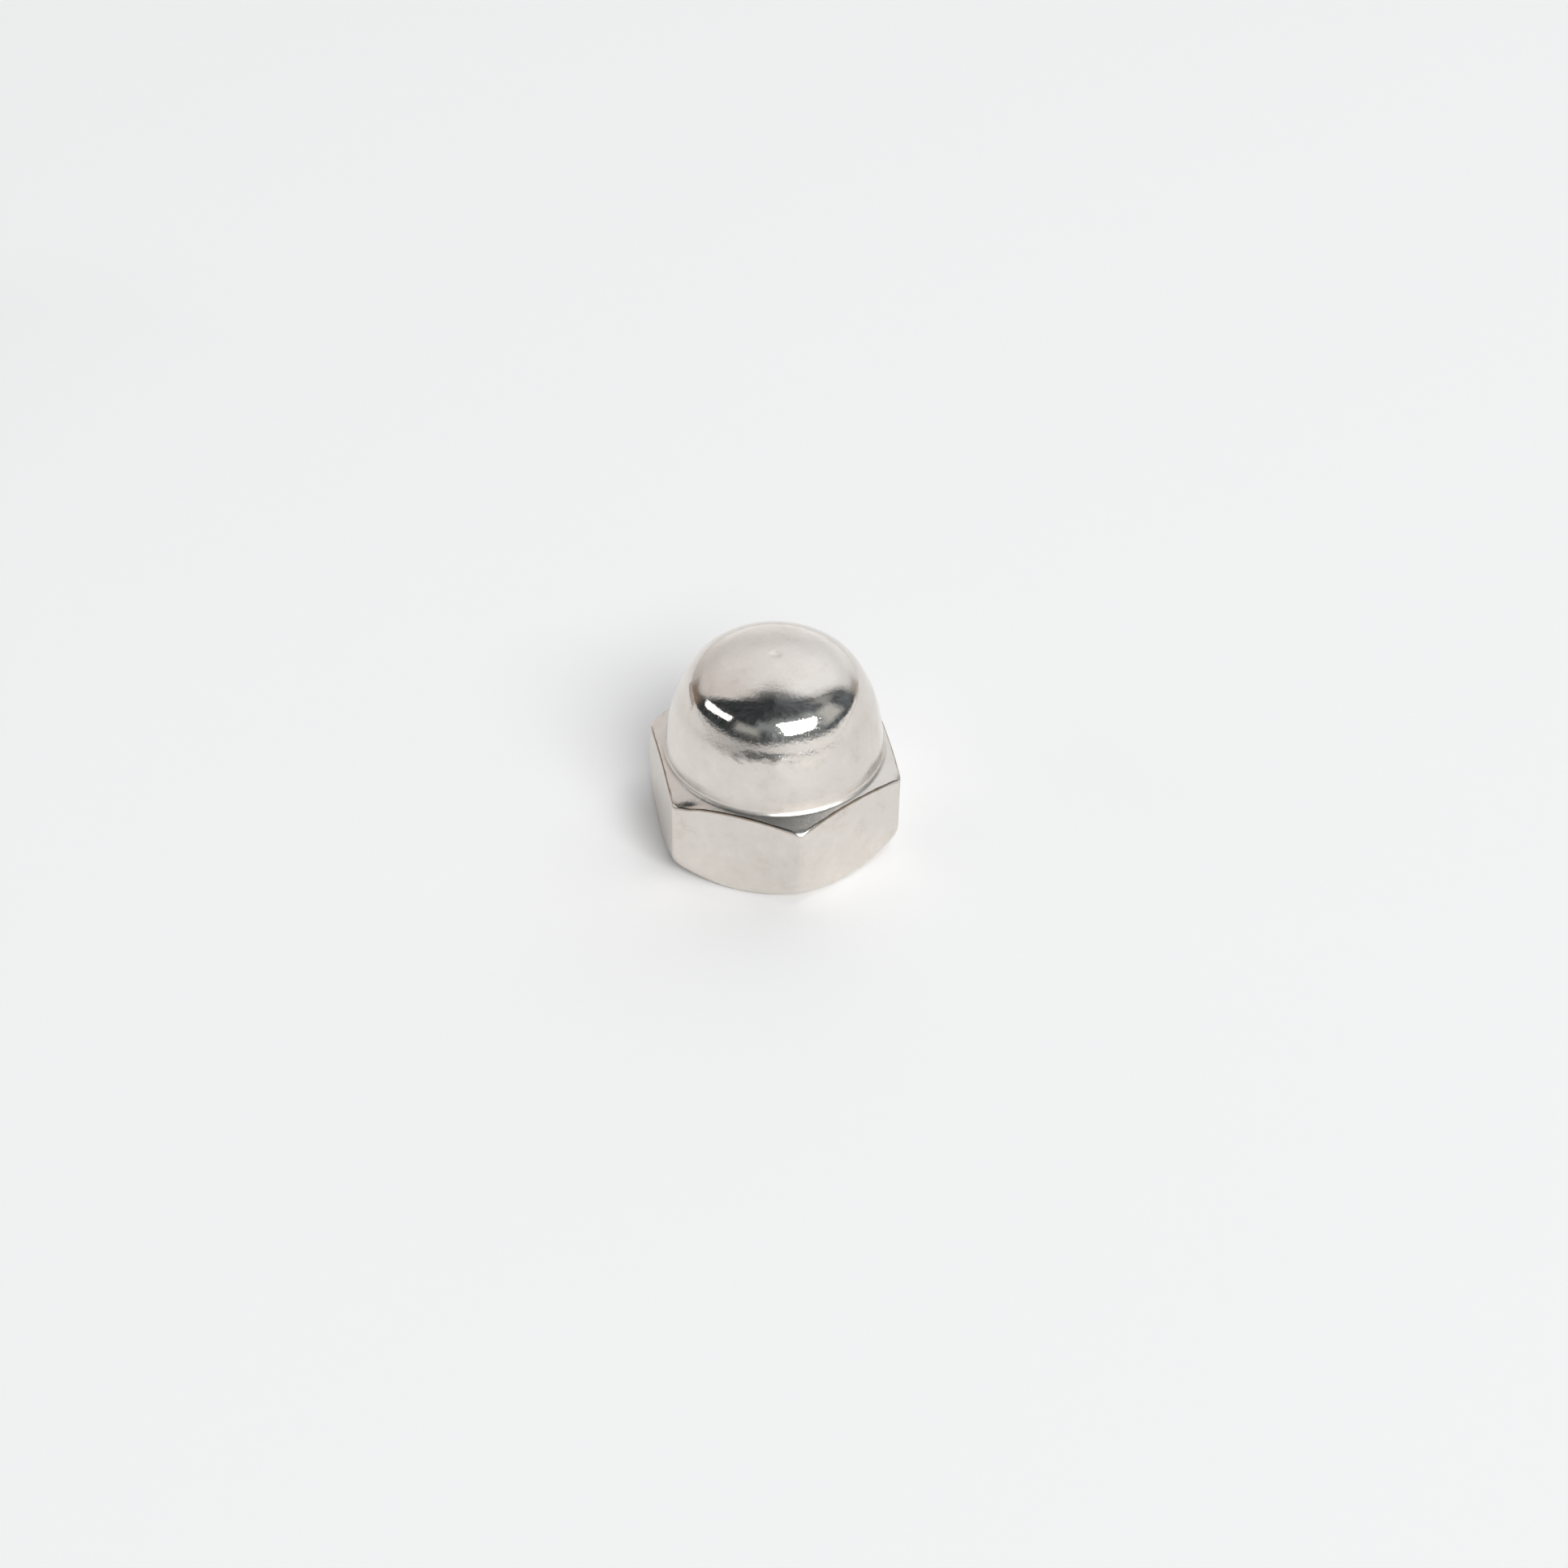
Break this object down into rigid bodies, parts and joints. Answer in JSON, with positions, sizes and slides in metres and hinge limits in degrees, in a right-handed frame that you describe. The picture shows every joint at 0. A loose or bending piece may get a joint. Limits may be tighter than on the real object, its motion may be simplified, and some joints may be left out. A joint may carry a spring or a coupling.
{
  "type": "cap nut",
  "caption": "Low domed hexagon cap nut in polished steel, with a blind tapped bore, that closes off the end of a threaded bolt or stud.",
  "frame": {"origin": "middle of the bearing face, on the thread's axis", "axes": "+Z along the thread's axis, from the bearing face to the top of the dome; corners of the hexagon on +Y and -Y, flats facing +X and -X"},
  "size_m": [0.013, 0.0148, 0.012],
  "materials": {
    "steel": "polished"
  },
  "bodies": {
    "root": {"cap_nut": "steel"}
  },
  "joints": []
}
